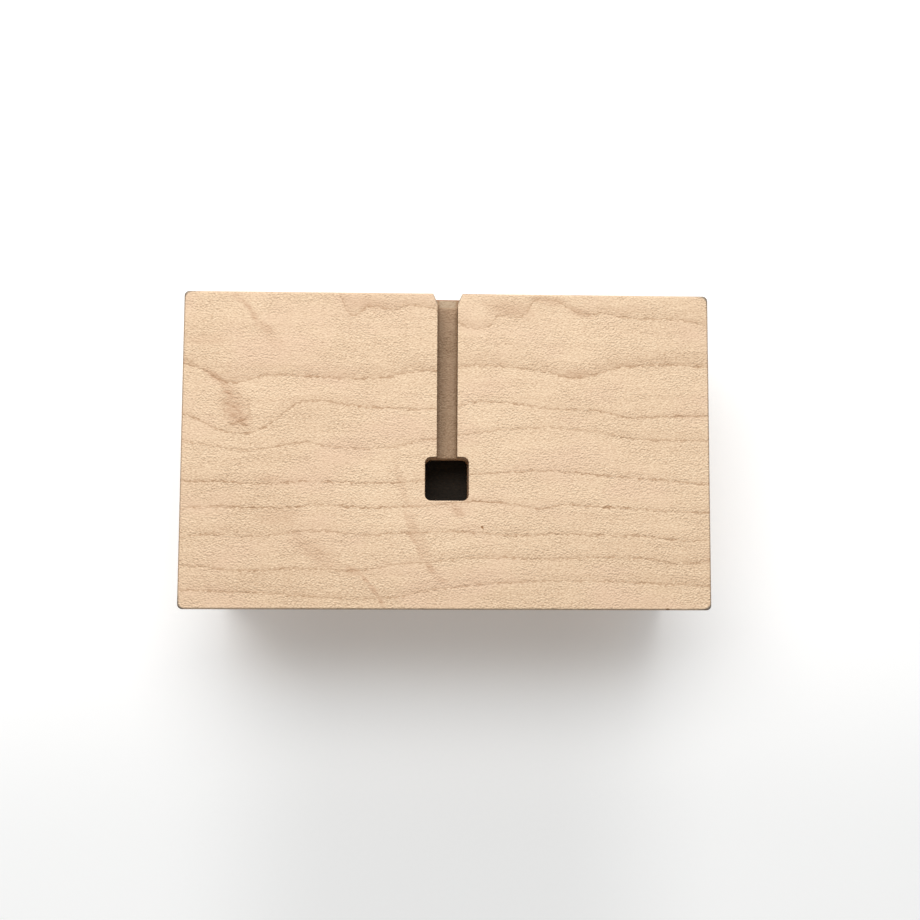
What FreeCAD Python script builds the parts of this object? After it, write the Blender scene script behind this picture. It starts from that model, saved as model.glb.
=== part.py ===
# Wooden puzzle box: a mitred case and a lift-off lid, locked by a hidden slider and two bolts.
import FreeCAD, Part
import math
import os
import re
import Sketcher

# Every driving size, in millimetres.
SIZES = {
    # Outside of the box
    "box_length": 127.0,
    "box_depth": 76.2,
    "box_height": 50.8,
    "bottom_thick": 6.35,
    "lid_thick": 12.7,
    "wall_thick": 9.5,
    "corner_round": 1.2,
    "arris": 0.4,
    # Tool groove, its flared mouth and the square well in the lid
    "groove_width": 4.9,
    "groove_depth": 5.5,
    "mouth_run": 2.5,
    "mouth_flare": 1.15,
    "mouth_drop": 1.5,
    "well_side": 10.5,
    "well_corner": 1.5,
    "well_forward": 6.95,
    # The two boards under the lid slab
    "board_thick": 8.7,
    "lip_gap": 0.4,
    "lip_round": 1.0,
    # Lock slider and its clearances
    "slider_thick": 3.6,
    "slider_rim": 3.5,
    "slider_round": 2.0,
    "slide_gap": 0.2,
    "lock_travel": 6.0,
    "key_recess": 2.4,
    # Follower pins, measured from the well's side and centre
    "follower_stand": 8.75,
    "follower_back": 3.0,
    "follower_diameter": 3.0,
    "slot_gap": 0.15,
    "press_gap": 0.01,
    "pin_bevel": 0.3,
    # Bolts and their mortises
    "bolt_width": 10.0,
    "bolt_thick": 4.4,
    "bolt_setback": 1.6,
    "bolt_heel": 4.0,
    "bolt_nose": 1.0,
    "mortise_gap": 0.9,
    "mortise_spare": 2.8,
    # Gravity pins, measured from the well's side and centre
    "gravity_stand": 3.75,
    "gravity_back": 13.0,
    "gravity_diameter": 3.0,
    "gravity_length": 5.5,
    "gravity_bore": 6.0,
    "gravity_gap": 0.15,
    # Magnets that hold the slider at both ends of its travel
    "magnet_diameter": 4.0,
    "magnet_thick": 2.0,
    "magnet_gap": 0.05,
    # Screws
    "screw_shank": 2.8,
    "screw_head": 5.4,
    "head_recess": 0.3,
    "screw_gap": 0.1,
    "bottom_bite": 9.5,
    "bottom_screw_end": 21.5,
    "lid_bite": 6.0,
    "lid_screw_inset": 9.0,
    "pilot_spare": 0.5,
    # Splines in the mitred corners
    "spline_thick": 2.0,
    "spline_width": 5.0,
    "spline_stop": 6.0,
    "spline_gap": 0.05,
    # Lining of the compartment
    "felt_thick": 1.0,
    "felt_gap": 0.4,
}

# Formulas that several pieces share.
HALF_LENGTH = "box_length / 2"
HALF_DEPTH = "box_depth / 2"
WALL_TOP = "(box_height - lid_thick)"
WALL_HEIGHT = f"({WALL_TOP} - bottom_thick)"
LIP_X = "(box_length / 2 - wall_thick - lip_gap)"
LIP_Y = "(box_depth / 2 - wall_thick - lip_gap)"
FRAME_THICK = "(slider_thick + 2 * slide_gap)"
FRAME_BOTTOM = f"({WALL_TOP} - {FRAME_THICK})"
BOARD_BOTTOM = f"({FRAME_BOTTOM} - board_thick)"
CHANNEL_DEPTH = "(bolt_thick + 2 * slide_gap)"
WELL_HALF = "well_side / 2"
FOLLOWER_X = "(well_side / 2 + follower_stand)"
FOLLOWER_Y = "(follower_back - well_forward)"
BOLT_BOTTOM = f"({FRAME_BOTTOM} - slide_gap - bolt_thick)"
BOLT_HEEL = "(follower_diameter / 2 + bolt_heel)"
GRAVITY_X = "(well_side / 2 + gravity_stand)"
GRAVITY_Y = "(gravity_back - well_forward)"
GRAVITY_HOLE = "(gravity_diameter / 2 + gravity_gap)"
SLOT_RADIUS = "(follower_diameter / 2 + slot_gap)"
MAGNET_Y = "(well_side / 2 - well_forward + slider_rim + magnet_diameter / 2)"
MAGNET_HOLE = "(magnet_diameter / 2 + magnet_gap)"
SLIDER_X = f"({FOLLOWER_X} + lock_travel + {SLOT_RADIUS} + slider_rim)"
SLIDER_FRONT = "(-well_forward - well_side / 2 - slider_rim)"
SLIDER_BACK = f"({GRAVITY_Y} + {GRAVITY_HOLE} + slider_rim)"
SCREW_HOLE = "(screw_shank / 2 + screw_gap)"
SCREW_X = f"({LIP_X} - lid_screw_inset)"
SCREW_Y = f"({LIP_Y} - lid_screw_inset)"
BOTTOM_SCREW_X = "(box_length / 2 - bottom_screw_end)"
BOTTOM_SCREW_Y = "(box_depth / 2 - wall_thick / 2)"

SIDES = {"left": -1, "right": 1}
CLOSE = 1e-4

document = FreeCAD.newDocument("puzzle_box")
sheet = document.addObject("Spreadsheet::Sheet", "Sizes")
nodes = []


def fill_sheet():
    """Write every size into a named cell."""
    for row, (name, size) in enumerate(SIZES.items(), start=1):
        sheet.set(f"A{row}", name)
        sheet.set(f"B{row}", str(size))
        sheet.setAlias(f"B{row}", name)
    document.recompute()


def bound(formula):
    """Return the formula with each size's name turned into a reference to its cell."""
    return re.sub(r"[a-z_]+", lambda word: ("Sizes." if word[0] in SIZES else "") + word[0], formula)


def number(formula):
    """Return what a formula comes to at the present sizes."""
    return float(sheet.evalExpression(formula))


def place(item, x="0", y="0", z="0", angle=0):
    """Put an object at three formulas, turned about the upright axis."""
    upright = FreeCAD.Vector(0, 0, 1)
    item.Placement = FreeCAD.Placement(FreeCAD.Vector(), FreeCAD.Rotation(upright, angle))
    for axis, formula in zip("xyz", (x, y, z)):
        item.setExpression(f"Placement.Base.{axis}", bound(formula))


def new_body(name, is_node=True):
    """Start a sub-part, and list it for export unless it only serves as a pattern."""
    body = document.addObject("PartDesign::Body", name)
    body.Label = name
    if is_node:
        nodes.append(body)
    return body


def new_sketch(body, name, plane="XY_Plane", offset="0"):
    """Start a sketch on one of the body's own planes, shifted along the plane's normal."""
    support = next(item for item in body.Origin.OriginFeatures if item.Role == plane)
    sketch = body.newObject("Sketcher::SketchObject", f"{body.Name}_{name}")
    sketch.AttachmentSupport = [(support, "")]
    sketch.MapMode = "FlatFace"
    sketch.setExpression("AttachmentOffset.Base.z", bound(offset))
    return sketch


def constrain(sketch, formula, kind, *targets):
    """Add one dimension to a sketch and tie it to a formula."""
    index = sketch.addConstraint(Sketcher.Constraint(kind, *targets, number(formula)))
    sketch.setExpression(f"Constraints[{index}]", bound(formula))


def fix_point(sketch, curve, end, point):
    """Hold one point of a curve at two formulas, measured from the sketch's origin."""
    constrain(sketch, point[0], "DistanceX", -1, 1, curve, end)
    constrain(sketch, point[1], "DistanceY", -1, 1, curve, end)


def vector(point):
    """Return a point given as two formulas as a vector in the sketch's plane."""
    return FreeCAD.Vector(number(point[0]), number(point[1]), 0)


def arc_about(centre, start, finish):
    """Return the counter-clockwise arc from start to finish about a centre."""
    first = start - centre
    last = finish - centre
    circle = Part.Circle(centre, FreeCAD.Vector(0, 0, 1), first.Length)
    return Part.ArcOfCircle(circle, math.atan2(first.y, first.x), math.atan2(last.y, last.x))


def draw_outline(sketch, points, arcs=None):
    """Draw a closed counter-clockwise outline.

    arcs maps the index of each round stretch to its radius and its centre, as formulas.
    """
    arcs = arcs or {}
    corners = [vector(point) for point in points]
    count = len(points)
    for index, start in enumerate(corners):
        finish = corners[(index + 1) % count]
        if index in arcs:
            sketch.addGeometry(arc_about(vector(arcs[index][1]), start, finish))
        else:
            sketch.addGeometry(Part.LineSegment(start, finish))
    for index in range(count):
        sketch.addConstraint(Sketcher.Constraint("Coincident", index, 2, (index + 1) % count, 1))
    for index, point in enumerate(points):
        fix_point(sketch, index, 1, point)
    for index, (radius, _) in arcs.items():
        constrain(sketch, radius, "Radius", index)


def draw_box(sketch, west, east, south, north):
    """Draw a rectangle between four formulas."""
    draw_outline(sketch, [(west, south), (east, south), (east, north), (west, north)])


def draw_round_box(sketch, west, east, south, north, radius):
    """Draw a rectangle with round corners between four formulas."""
    left = f"{west} + {radius}"
    right = f"{east} - {radius}"
    low = f"{south} + {radius}"
    high = f"{north} - {radius}"
    points = [(left, south), (right, south), (east, low), (east, high),
              (right, north), (left, north), (west, high), (west, low)]
    centres = {1: (right, low), 3: (right, high), 5: (left, high), 7: (left, low)}
    draw_outline(sketch, points, {index: (radius, centre) for index, centre in centres.items()})


def draw_circles(sketch, centres, radius):
    """Draw equal circles about the given points."""
    for centre in centres:
        circle = Part.Circle(vector(centre), FreeCAD.Vector(0, 0, 1), number(radius))
        curve = sketch.addGeometry(circle)
        fix_point(sketch, curve, 3, centre)
        constrain(sketch, radius, "Radius", curve)


def draw_slot(sketch, start, finish, radius):
    """Draw a round-ended slot from one centre to another."""
    first = vector(start)
    last = vector(finish)
    along = (last - first).normalize()
    across = FreeCAD.Vector(-along.y, along.x, 0) * number(radius)
    base = sketch.GeometryCount
    sketch.addGeometry(arc_about(first, first + across, first - across))
    sketch.addGeometry(Part.LineSegment(first - across, last - across))
    sketch.addGeometry(arc_about(last, last - across, last + across))
    sketch.addGeometry(Part.LineSegment(last + across, first + across))
    for index in range(4):
        following = base + (index + 1) % 4
        sketch.addConstraint(Sketcher.Constraint("Tangent", base + index, 2, following, 1))
    sketch.addConstraint(Sketcher.Constraint("Equal", base, base + 2))
    fix_point(sketch, base, 3, start)
    fix_point(sketch, base + 2, 3, finish)
    constrain(sketch, radius, "Radius", base)


def pad(body, sketch, height):
    """Raise a sketch into a solid."""
    feature = body.newObject("PartDesign::Pad", f"{sketch.Name}_pad")
    feature.Profile = sketch
    feature.setExpression("Length", bound(height))
    document.recompute()


def cut_deeper(body, volume, name):
    """Stop where a cut has taken nothing away."""
    document.recompute()
    if body.Shape.Volume > volume - CLOSE:
        raise RuntimeError(f"{name} cuts nothing")


def pocket(body, sketch, depth, toward_normal=False):
    """Sink a sketch into the body, against its plane's normal unless told otherwise."""
    volume = body.Shape.Volume
    feature = body.newObject("PartDesign::Pocket", f"{sketch.Name}_pocket")
    feature.Profile = sketch
    feature.Reversed = toward_normal
    feature.setExpression("Length", bound(depth))
    cut_deeper(body, volume, feature.Name)


def countersunk_holes(body, sketch):
    """Drill screw holes right through from the underside, sunk for flat heads."""
    document.recompute()
    volume = body.Shape.Volume
    feature = body.newObject("PartDesign::Hole", f"{sketch.Name}_hole")
    feature.Profile = sketch
    document.recompute()
    feature.Threaded = False
    feature.Reversed = True
    feature.DepthType = "ThroughAll"
    feature.HoleCutType = "Countersink"
    feature.HoleCutCountersinkAngle = 90
    feature.setExpression("Diameter", bound(f"2 * {SCREW_HOLE}"))
    sunk = "screw_head + 2 * (head_recess + screw_gap)"
    feature.setExpression("HoleCutDiameter", bound(sunk))
    cut_deeper(body, volume, feature.Name)


def revolve(body, sketch):
    """Turn a profile about the upright axis."""
    feature = body.newObject("PartDesign::Revolution", f"{sketch.Name}_turned")
    feature.Profile = sketch
    feature.ReferenceAxis = (sketch, ["V_Axis"])
    feature.Angle = 360
    document.recompute()


def ease_edges(body, kind, size, is_wanted):
    """Round or bevel the body's edges that pass a test."""
    base = body.Tip
    edges = [f"Edge{index}" for index, edge in enumerate(base.Shape.Edges, 1) if is_wanted(edge)]
    feature = body.newObject(f"PartDesign::{kind}", f"{body.Name}_{size}_{kind}")
    feature.Base = (base, edges)
    feature.setExpression("Radius" if kind == "Fillet" else "Size", bound(size))
    document.recompute()


def lies_at(edge, height):
    """Tell whether an edge lies level at a height."""
    return all(abs(vertex.Z - height) < CLOSE for vertex in edge.Vertexes)


def is_on_rim(edge):
    """Tell whether both ends of an edge are on the box's outer faces."""
    half_length = number(HALF_LENGTH)
    half_depth = number(HALF_DEPTH)
    return all(abs(abs(vertex.X) - half_length) < CLOSE or abs(abs(vertex.Y) - half_depth) < CLOSE
               for vertex in edge.Vertexes)


def outer_outline(body):
    """Draw the box's rounded outer outline."""
    sketch = new_sketch(body, "outline")
    draw_round_box(sketch, f"-{HALF_LENGTH}", HALF_LENGTH, f"-{HALF_DEPTH}", HALF_DEPTH, "corner_round")
    return sketch


def lip_outline(body):
    """Draw the outline of a board that drops between the walls."""
    sketch = new_sketch(body, "outline")
    draw_round_box(sketch, f"-{LIP_X}", LIP_X, f"-{LIP_Y}", LIP_Y, "lip_round")
    return sketch


def well_outline(body, offset):
    """Draw the square well with its round corners."""
    sketch = new_sketch(body, "well", offset=offset)
    front = f"-well_forward - {WELL_HALF}"
    back = f"-well_forward + {WELL_HALF}"
    draw_round_box(sketch, f"-{WELL_HALF}", WELL_HALF, front, back, "well_corner")
    return sketch


def group(name, master, places):
    """Repeat one small piece at several places, as one node of separate solids."""
    copies = []
    for index, (x, y, z, angle) in enumerate(places):
        copy = document.addObject("App::Link", f"{name}_{index}")
        copy.LinkedObject = master
        place(copy, x, y, z, angle)
        copies.append(copy)
    compound = document.addObject("Part::Compound", name)
    compound.Label = name
    compound.Links = copies
    nodes.append(compound)


def corners_of(x, y):
    """Return the four points that mirror one point about both centre lines."""
    return [(f"{across} * {x}", f"{along} * {y}") for across in (-1, 1) for along in (-1, 1)]


def make_bottom_board():
    """The board that the walls stand on, with sunk screw holes from below."""
    body = new_body("bottom_board")
    pad(body, outer_outline(body), "bottom_thick")
    holes = new_sketch(body, "holes")
    draw_circles(holes, corners_of(BOTTOM_SCREW_X, BOTTOM_SCREW_Y), SCREW_HOLE)
    countersunk_holes(body, holes)
    for height in (0, number("bottom_thick")):
        ease_edges(body, "Chamfer", "arris", lambda edge: lies_at(edge, height) and is_on_rim(edge))


def wall_profile(body, half):
    """Draw a wall in plan: outer face on the X axis, mitred ends and half of each round corner."""
    sketch = new_sketch(body, "outline")
    trim = f"corner_round * (1 - {math.sqrt(0.5)})"
    points = [(f"-{half} + corner_round", "0"), (f"{half} - corner_round", "0"),
              (f"{half} - {trim}", trim), (f"{half} - wall_thick", "wall_thick"),
              (f"-{half} + wall_thick", "wall_thick"), (f"-{half} + {trim}", trim)]
    arcs = {1: ("corner_round", (f"{half} - corner_round", "corner_round")),
            5: ("corner_round", (f"-{half} + corner_round", "corner_round"))}
    draw_outline(sketch, points, arcs)
    return sketch


def cut_spline_slots(body, half):
    """Cut a stopped slot square to the mitre at each end of a wall."""
    thick = f"(spline_thick / 2 + spline_gap) * {math.sqrt(0.5)}"
    width = f"(spline_width / 2 + spline_gap) * {math.sqrt(0.5)}"
    for end in (-1, 1):
        sketch = new_sketch(body, f"spline_{'right' if end > 0 else 'left'}")
        turns = [(-1, -1), (1, -1), (1, 1), (-1, 1)]
        points = [(f"{end} * ({half} - wall_thick / 2 + {across} * {width} - {along} * {thick})",
                   f"wall_thick / 2 + {across} * {width} + {along} * {thick}")
                  for along, across in turns[::-end]]
        draw_outline(sketch, points)
        pocket(body, sketch, f"{WALL_HEIGHT} - spline_stop + spline_gap", toward_normal=True)


def make_wall(name, half, angle, x, y):
    """A mitred wall with its spline slots."""
    body = new_body(name)
    place(body, x, y, "bottom_thick", angle)
    pad(body, wall_profile(body, half), WALL_HEIGHT)
    ends = (0, number(WALL_HEIGHT))
    ease_edges(body, "Chamfer", "arris", lambda edge: edge.CenterOfMass.y < number("corner_round / 2")
               and any(lies_at(edge, height) for height in ends))
    cut_spline_slots(body, half)
    return body


def cut_mortise(body, along):
    """Sink the mortise that a bolt shoots into, from the inner face of a wall."""
    low = f"{BOLT_BOTTOM} - bottom_thick - mortise_gap"
    high = f"{BOLT_BOTTOM} - bottom_thick + bolt_thick + mortise_gap"
    reach = "(bolt_width / 2 + mortise_gap)"
    sketch = new_sketch(body, "mortise", "XZ_Plane", "-wall_thick")
    draw_box(sketch, f"{along} - {reach}", f"{along} + {reach}", low, high)
    pocket(body, sketch, "lock_travel - lip_gap - bolt_setback + mortise_spare", toward_normal=True)


def make_walls():
    """The four walls of the case: screw pilots in the long ones and bolt mortises in the short ones."""
    for name, side in {"front": -1, "back": 1}.items():
        angle = 0 if side < 0 else 180
        body = make_wall(f"{name}_wall", HALF_LENGTH, angle, "0", f"{side} * {HALF_DEPTH}")
        pilots = new_sketch(body, "pilots")
        points = [(f"{end} * {BOTTOM_SCREW_X}", "wall_thick / 2") for end in SIDES.values()]
        draw_circles(pilots, points, SCREW_HOLE)
        pocket(body, pilots, "bottom_bite + pilot_spare", toward_normal=True)
    for name, side in SIDES.items():
        body = make_wall(f"{name}_wall", HALF_DEPTH, 90 * side, f"{side} * {HALF_LENGTH}", "0")
        cut_mortise(body, f"{side} * {FOLLOWER_Y}")


def make_splines():
    """Loose tongues glued into the mitred corners."""
    master = new_body("corner_spline", is_node=False)
    sketch = new_sketch(master, "outline")
    draw_box(sketch, "-spline_width / 2", "spline_width / 2", "-spline_thick / 2", "spline_thick / 2")
    pad(master, sketch, f"{WALL_HEIGHT} - spline_stop")
    middle = "wall_thick / 2"
    places = [(f"{across} * ({HALF_LENGTH} - {middle})", f"{along} * ({HALF_DEPTH} - {middle})",
               "bottom_thick", -45 * across * along)
              for across in (-1, 1) for along in (-1, 1)]
    group("corner_splines", master, places)


def make_screw(name, length):
    """A flat-head wood screw standing on its head."""
    body = new_body(name, is_node=False)
    profile = new_sketch(body, "profile", "XZ_Plane")
    head = "screw_head / 2"
    shank = "screw_shank / 2"
    draw_outline(profile, [("0", "0"), (head, "0"), (shank, f"{head} - {shank}"),
                           (shank, length), ("0", length)])
    revolve(body, profile)
    return body


def make_bottom_screws():
    """Four screws up through the bottom board into the long walls."""
    master = make_screw("bottom_screw", "(bottom_thick + bottom_bite - head_recess)")
    places = [(x, y, "head_recess", 0) for x, y in corners_of(BOTTOM_SCREW_X, BOTTOM_SCREW_Y)]
    group("bottom_screws", master, places)


def make_felt():
    """The lining on the floor of the compartment."""
    body = new_body("felt_lining")
    place(body, z="bottom_thick")
    sketch = new_sketch(body, "outline")
    inside_x = f"({HALF_LENGTH} - wall_thick - felt_gap)"
    inside_y = f"({HALF_DEPTH} - wall_thick - felt_gap)"
    draw_box(sketch, f"-{inside_x}", inside_x, f"-{inside_y}", inside_y)
    pad(body, sketch, "felt_thick")


def cut_mouth(body):
    """Flare the groove's sides and drop its floor where it leaves the back of the lid."""
    volume = body.Shape.Volume
    sections = []
    for name, run, flare, drop in (("mouth_outer", "0", "mouth_flare", "mouth_drop"),
                                   ("mouth_inner", "mouth_run", "0", "0")):
        sketch = new_sketch(body, name, "XZ_Plane", f"{run} - {HALF_DEPTH}")
        half = f"(groove_width / 2 + {flare})"
        draw_box(sketch, f"-{half}", half, f"lid_thick - groove_depth - {drop}", "lid_thick")
        sections.append(sketch)
    feature = body.newObject("PartDesign::SubtractiveLoft", "lid_slab_mouth")
    feature.Profile = sections[0]
    feature.Sections = sections[1:]
    feature.Ruled = True
    cut_deeper(body, volume, feature.Name)


def make_lid_slab():
    """The top of the lid, with the well right through it and the tool groove to its back edge."""
    body = new_body("lid_slab")
    place(body, z=WALL_TOP)
    pad(body, outer_outline(body), "lid_thick")
    for height in (0, number("lid_thick")):
        ease_edges(body, "Chamfer", "arris", lambda edge: lies_at(edge, height) and is_on_rim(edge))
    groove = new_sketch(body, "groove", offset="lid_thick")
    draw_box(groove, "-groove_width / 2", "groove_width / 2", "-well_forward", HALF_DEPTH)
    pocket(body, groove, "groove_depth")
    pocket(body, well_outline(body, "lid_thick"), "lid_thick")
    cut_mouth(body)
    pilots = new_sketch(body, "pilots")
    draw_circles(pilots, corners_of(SCREW_X, SCREW_Y), SCREW_HOLE)
    pocket(body, pilots, "lid_bite + pilot_spare", toward_normal=True)


def make_slider_frame():
    """The upper board under the slab, with the opening that the slider runs in."""
    body = new_body("slider_frame")
    place(body, z=FRAME_BOTTOM)
    pad(body, lip_outline(body), FRAME_THICK)
    opening = new_sketch(body, "opening", offset=FRAME_THICK)
    half = f"({SLIDER_X} + slide_gap)"
    draw_round_box(opening, f"-{half}", half, f"{SLIDER_FRONT} - slide_gap",
                   f"{SLIDER_BACK} + lock_travel + slide_gap", "slider_round")
    pocket(body, opening, FRAME_THICK)
    holes = new_sketch(body, "holes", offset=FRAME_THICK)
    draw_circles(holes, corners_of(SCREW_X, SCREW_Y), SCREW_HOLE)
    pocket(body, holes, FRAME_THICK)


def make_bolt_board():
    """The lower board under the slab, with the bolt channels, pin bores and magnet sockets."""
    body = new_body("bolt_board")
    place(body, z=BOARD_BOTTOM)
    pad(body, lip_outline(body), "board_thick")
    reach = "(bolt_width / 2 + slide_gap)"
    for name, side in SIDES.items():
        channel = new_sketch(body, f"{name}_channel", offset="board_thick")
        ends = sorted((f"{side} * ({FOLLOWER_X} - {BOLT_HEEL} - slide_gap)", f"{side} * {LIP_X}"),
                      key=number)
        draw_box(channel, *ends, f"{FOLLOWER_Y} - {reach}", f"{FOLLOWER_Y} + {reach}")
        pocket(body, channel, CHANNEL_DEPTH)
    bores = new_sketch(body, "bores", offset="board_thick")
    draw_circles(bores, [(f"{side} * {GRAVITY_X}", GRAVITY_Y) for side in SIDES.values()], GRAVITY_HOLE)
    pocket(body, bores, "gravity_bore")
    sockets = new_sketch(body, "sockets", offset="board_thick")
    draw_circles(sockets, [("0", MAGNET_Y), ("0", f"{MAGNET_Y} + lock_travel")], MAGNET_HOLE)
    pocket(body, sockets, "magnet_thick + magnet_gap")
    holes = new_sketch(body, "holes")
    draw_circles(holes, corners_of(SCREW_X, SCREW_Y), SCREW_HOLE)
    countersunk_holes(body, holes)


def make_lid_screws():
    """Four screws up through both boards into the slab."""
    master = make_screw("lid_screw", f"(board_thick + {FRAME_THICK} + lid_bite - head_recess)")
    places = [(x, y, f"{BOARD_BOTTOM} + head_recess", 0) for x, y in corners_of(SCREW_X, SCREW_Y)]
    group("lid_screws", master, places)


def make_pin(name, radius, length):
    """A turned pin with its upper rim bevelled, standing on its end."""
    body = new_body(name)
    profile = new_sketch(body, "profile", "XZ_Plane")
    draw_outline(profile, [("0", "0"), (radius, "0"), (radius, f"{length} - pin_bevel"),
                           (f"{radius} - pin_bevel", length), ("0", length)])
    revolve(body, profile)
    return body


def make_disc(name, is_node=True):
    """A disc magnet, lying flat."""
    body = new_body(name, is_node)
    sketch = new_sketch(body, "outline")
    draw_circles(sketch, [("0", "0")], "magnet_diameter / 2")
    pad(body, sketch, "magnet_thick")
    return body


def make_magnets():
    """Two detent magnets in the bolt board and the one in the slider that they hold."""
    master = make_disc("detent_magnet", is_node=False)
    low = f"{FRAME_BOTTOM} - magnet_thick"
    places = [("0", MAGNET_Y, low, 0), ("0", f"{MAGNET_Y} + lock_travel", low, 0)]
    group("detent_magnets", master, places)
    moving = make_disc("slider_magnet")
    place(moving, "0", MAGNET_Y, f"{FRAME_BOTTOM} + slide_gap")


def make_lock_slider():
    """The slider: a recess under the well, two diagonal cam slots and two holes for each gravity pin."""
    body = new_body("lock_slider")
    place(body, z=f"{FRAME_BOTTOM} + slide_gap")
    outline = new_sketch(body, "outline")
    draw_round_box(outline, f"-{SLIDER_X}", SLIDER_X, SLIDER_FRONT, SLIDER_BACK, "slider_round")
    pad(body, outline, "slider_thick")
    pocket(body, well_outline(body, "slider_thick"), "key_recess")
    slots = new_sketch(body, "slots", offset="slider_thick")
    holes = new_sketch(body, "holes", offset="slider_thick")
    for side in SIDES.values():
        start = (f"{side} * {FOLLOWER_X}", FOLLOWER_Y)
        finish = (f"{side} * ({FOLLOWER_X} + lock_travel)", f"{FOLLOWER_Y} - lock_travel")
        draw_slot(slots, start, finish, SLOT_RADIUS)
        across = f"{side} * {GRAVITY_X}"
        draw_circles(holes, [(across, GRAVITY_Y), (across, f"{GRAVITY_Y} - lock_travel")], GRAVITY_HOLE)
    pocket(body, slots, "slider_thick")
    pocket(body, holes, "slider_thick")
    socket = new_sketch(body, "socket")
    draw_circles(socket, [("0", MAGNET_Y)], MAGNET_HOLE)
    pocket(body, socket, "magnet_thick + magnet_gap", toward_normal=True)


def make_bolts():
    """A bolt for each side and the pin pressed in it, which follows the slider's cam slot."""
    for name, side in SIDES.items():
        angle = 0 if side > 0 else 180
        body = new_body(f"{name}_bolt")
        place(body, f"{side} * {FOLLOWER_X}", FOLLOWER_Y, BOLT_BOTTOM, angle)
        sketch = new_sketch(body, "outline")
        nose = f"{LIP_X} - bolt_setback - {FOLLOWER_X}"
        draw_box(sketch, f"-{BOLT_HEEL}", nose, "-bolt_width / 2", "bolt_width / 2")
        pad(body, sketch, "bolt_thick")
        ease_edges(body, "Chamfer", "bolt_nose",
                   lambda edge: all(abs(vertex.X - number(nose)) < CLOSE for vertex in edge.Vertexes)
                   and abs(edge.Vertexes[0].Z - edge.Vertexes[1].Z) > CLOSE)
        bore = new_sketch(body, "bore", offset="bolt_thick")
        draw_circles(bore, [("0", "0")], "follower_diameter / 2 + press_gap")
        pocket(body, bore, "bolt_thick")
        pin = make_pin(f"{name}_follower_pin", "follower_diameter / 2",
                       "(bolt_thick + slide_gap + slider_thick)")
        place(pin, f"{side} * {FOLLOWER_X}", FOLLOWER_Y, BOLT_BOTTOM)


def make_gravity_pins():
    """Loose pins in blind bores, which fall into the slider when the box is turned over."""
    for name, side in SIDES.items():
        pin = make_pin(f"{name}_gravity_pin", "gravity_diameter / 2", "gravity_length")
        place(pin, f"{side} * {GRAVITY_X}", GRAVITY_Y, f"{FRAME_BOTTOM} - gravity_bore")


def check_document():
    """Stop if any object failed or any sub-part has no valid solid."""
    failed = [item.Name for item in document.Objects if {"Invalid", "Error"} & set(item.State)]
    if failed:
        raise RuntimeError(f"failed objects: {failed}")
    for node in nodes:
        if node.Shape.isNull() or not node.Shape.isValid() or not node.Shape.Solids:
            raise RuntimeError(f"{node.Label} has no valid solid")


def export_nodes():
    """Write one file per sub-part."""
    os.makedirs("parts", exist_ok=True)
    for node in nodes:
        node.Shape.exportStep(f"parts/{node.Label}.step")
        print(f"{node.Label}: {len(node.Shape.Solids)} solid(s), {node.Shape.Volume:.1f} mm3")


fill_sheet()
make_bottom_board()
make_walls()
make_splines()
make_bottom_screws()
make_felt()
make_lid_slab()
make_slider_frame()
make_bolt_board()
make_lid_screws()
make_magnets()
make_lock_slider()
make_bolts()
make_gravity_pins()
document.recompute()
check_document()
export_nodes()
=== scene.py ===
"""Looks of a maple puzzle box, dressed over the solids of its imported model."""

import logging
import math
from collections.abc import Mapping, Sequence
from dataclasses import dataclass, field
from enum import Enum

import bmesh
import bpy
from mathutils import Matrix, Vector, noise


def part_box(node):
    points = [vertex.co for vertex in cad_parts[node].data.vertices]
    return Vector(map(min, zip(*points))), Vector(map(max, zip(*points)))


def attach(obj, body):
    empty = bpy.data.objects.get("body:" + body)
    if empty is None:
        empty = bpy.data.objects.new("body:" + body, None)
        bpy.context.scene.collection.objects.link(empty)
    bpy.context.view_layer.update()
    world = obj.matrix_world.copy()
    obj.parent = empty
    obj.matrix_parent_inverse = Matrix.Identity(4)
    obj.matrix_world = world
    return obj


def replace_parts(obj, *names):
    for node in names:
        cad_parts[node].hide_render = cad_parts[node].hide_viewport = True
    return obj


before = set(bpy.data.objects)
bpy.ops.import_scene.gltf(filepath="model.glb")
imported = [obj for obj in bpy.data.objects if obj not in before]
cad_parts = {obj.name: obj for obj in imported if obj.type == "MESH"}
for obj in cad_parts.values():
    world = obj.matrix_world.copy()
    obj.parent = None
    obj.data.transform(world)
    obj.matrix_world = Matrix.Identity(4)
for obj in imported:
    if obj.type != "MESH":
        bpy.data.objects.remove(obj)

Socket = bpy.types.NodeSocket
Node = bpy.types.Node
Piece = bpy.types.Object
Mesh = bpy.types.Mesh
Finish = bpy.types.Material
Amount = float | tuple | Socket
Colour = tuple[float, float, float]
Point = tuple[float, float]
Spot = tuple[float, float, float]

MM = 0.001
WHITE: Colour = (1.0, 1.0, 1.0)
BLACK: Colour = (0.0, 0.0, 0.0)
RING_SHADES: tuple[Point, ...] = (
    (0.0, 0.0), (0.45, 0.04), (0.9, 0.16), (0.94, 0.42), (0.97, 0.42), (1.0, 0.0),
)
TURNED: Point = (0.4, 0.8)
WELD_GAP = 1e-6
FLAT_ANGLE = math.radians(0.5)
EDGE_ANGLE = math.radians(38)
SMOOTH_ANGLE = math.radians(32)
log = logging.getLogger("puzzle_box")


class Grain(Enum):
    """Which way a board's grain runs, as the box's axis number."""

    LENGTHWISE = 0
    DEPTHWISE = 1

    def stretch(self, long: float, wide: float) -> Spot:
        """Return the size of a blotch that is stretched along the grain."""
        return (long, wide, wide) if self is Grain.LENGTHWISE else (wide, long, wide)


class Mark(Enum):
    """What a mark in the wood is: a warm stain, or a dark nick or speck."""

    STAIN = "stain"
    NICK = "line"


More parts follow.
